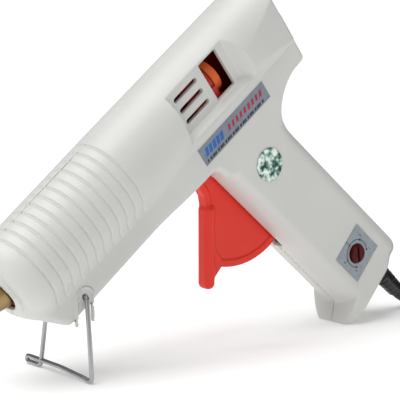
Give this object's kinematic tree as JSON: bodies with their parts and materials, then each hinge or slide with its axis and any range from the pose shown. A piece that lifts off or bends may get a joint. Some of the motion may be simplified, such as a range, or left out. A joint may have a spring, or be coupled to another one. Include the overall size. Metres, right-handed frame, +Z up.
{
  "type": "glue gun",
  "caption": "Pistol-shaped hot-melt glue gun with brass nozzle, lever trigger, temperature dial, folding wire stand and a mains cord tied in a hank.",
  "frame": {"origin": "middle of the narrow flat on the handle's lip, where the gun rests on the table", "axes": "+Z up, +X from the nozzle to the handle along the table, +Y across the gun, away from the side with the window and dial"},
  "size_m": [0.4025, 0.0708, 0.1597],
  "materials": {
    "casing_plastic": "fine moulded satin white",
    "screw_steel": "zinc plated",
    "nozzle_brass": "turned, heat-dulled",
    "spring_steel": "drawn wire",
    "seal_silicone": "moulded silicone",
    "chamber_alloy": "die-cast",
    "heater_ceramic": "fired ceramic in film",
    "bracket_fibre": "pressed fibre board",
    "sensor_glass": "moulded bead",
    "lead_sleeving": "braided glass sleeving",
    "guide_plastic": "moulded",
    "carriage_plastic": "moulded",
    "clamp_plastic": "moulded",
    "trigger_plastic": "satin moulded orange-red",
    "stand_wire": "bright drawn wire",
    "knob_plastic": "translucent dark red",
    "board_laminate": "lacquered laminate",
    "component_black": "moulded epoxy",
    "component_film": "dipped film",
    "terminal_plastic": "moulded",
    "wire_plastic": "extruded",
    "cord_rubber": "extruded matte sheath",
    "relief_rubber": "moulded flexible",
    "tie_plastic": "woven hook tape",
    "plug_plastic": "moulded",
    "pin_brass": "nickel-dulled",
    "name_foil": "brushed metallic foil",
    "seal_foil": "mottled security foil",
    "dial_print": "printed film"
  },
  "bodies": {
    "housing": {"casing_left": "casing_plastic", "casing_right": "casing_plastic", "casing_screws": "screw_steel", "nozzle": "nozzle_brass", "valve_ball": "screw_steel", "valve_spring": "spring_steel", "nose_seal": "seal_silicone", "melt_chamber": "chamber_alloy", "heater_plate": "heater_ceramic", "front_bracket": "bracket_fibre", "rear_bracket": "bracket_fibre", "thermal_fuse": "screw_steel", "temperature_sensor": "sensor_glass", "heater_leads": "lead_sleeving", "feed_sleeve": "seal_silicone", "sleeve_clamp": "spring_steel", "rear_guide": "guide_plastic", "trigger_pin": "screw_steel", "return_spring": "spring_steel", "spring_post": "screw_steel", "potentiometer": "component_black", "control_board": "board_laminate", "board_screws": "screw_steel", "triac": "component_black", "capacitor": "component_film", "terminal_block": "terminal_plastic", "supply_wires": "wire_plastic", "inner_sheath": "cord_rubber", "cord_clamp": "terminal_plastic", "clamp_screws": "screw_steel", "strain_relief": "relief_rubber", "mains_cord": "cord_rubber", "cord_hank": "cord_rubber", "cord_end": "cord_rubber", "cord_tie": "tie_plastic", "plug_body": "plug_plastic", "plug_pins": "pin_brass", "name_label": "name_foil", "seal_sticker": "seal_foil", "dial_label": "dial_print"},
    "trigger": {"trigger": "trigger_plastic", "drive_pin": "screw_steel"},
    "carriage": {"carriage": "carriage_plastic", "clamp_pin": "screw_steel"},
    "clamp": {"stick_clamp": "clamp_plastic"},
    "stand": {"stand": "stand_wire"},
    "knob": {"temperature_knob": "knob_plastic"}
  },
  "joints": [
    {"name": "trigger_pull", "type": "hinge", "parent": "housing", "child": "trigger", "pos_m": [-0.06536, 0, 0.07295], "axis": [0, -1, 0], "range_deg": [0, 24], "stiffness_Nm_per_rad": 0.2, "springref_deg": -8.59},
    {"name": "carriage_feed", "type": "slide", "parent": "housing", "child": "carriage", "axis": [-0.7955, 0, -0.606], "range_m": [0, 0.0142]},
    {"name": "clamp_tilt", "type": "hinge", "parent": "carriage", "child": "clamp", "pos_m": [-0.07523, 0, 0.11131], "axis": [0, 1, 0], "range_deg": [0, 5.05]},
    {"name": "stand_fold", "type": "hinge", "parent": "housing", "child": "stand", "pos_m": [-0.15446, 0, 0.03512], "axis": [0, -1, 0], "range_deg": [0, 115]},
    {"name": "dial_turn", "type": "hinge", "parent": "housing", "child": "knob", "pos_m": [-0.00087, -0.0135, 0.03483], "axis": [0, -1, 0], "range_deg": [-135, 135]}
  ],
  "couplings": [
    {"joint": "carriage_feed", "follows": "trigger_pull", "m_per_rad": 0.033752},
    {"joint": "clamp_tilt", "follows": "trigger_pull", "ratio": 0.20833}
  ]
}
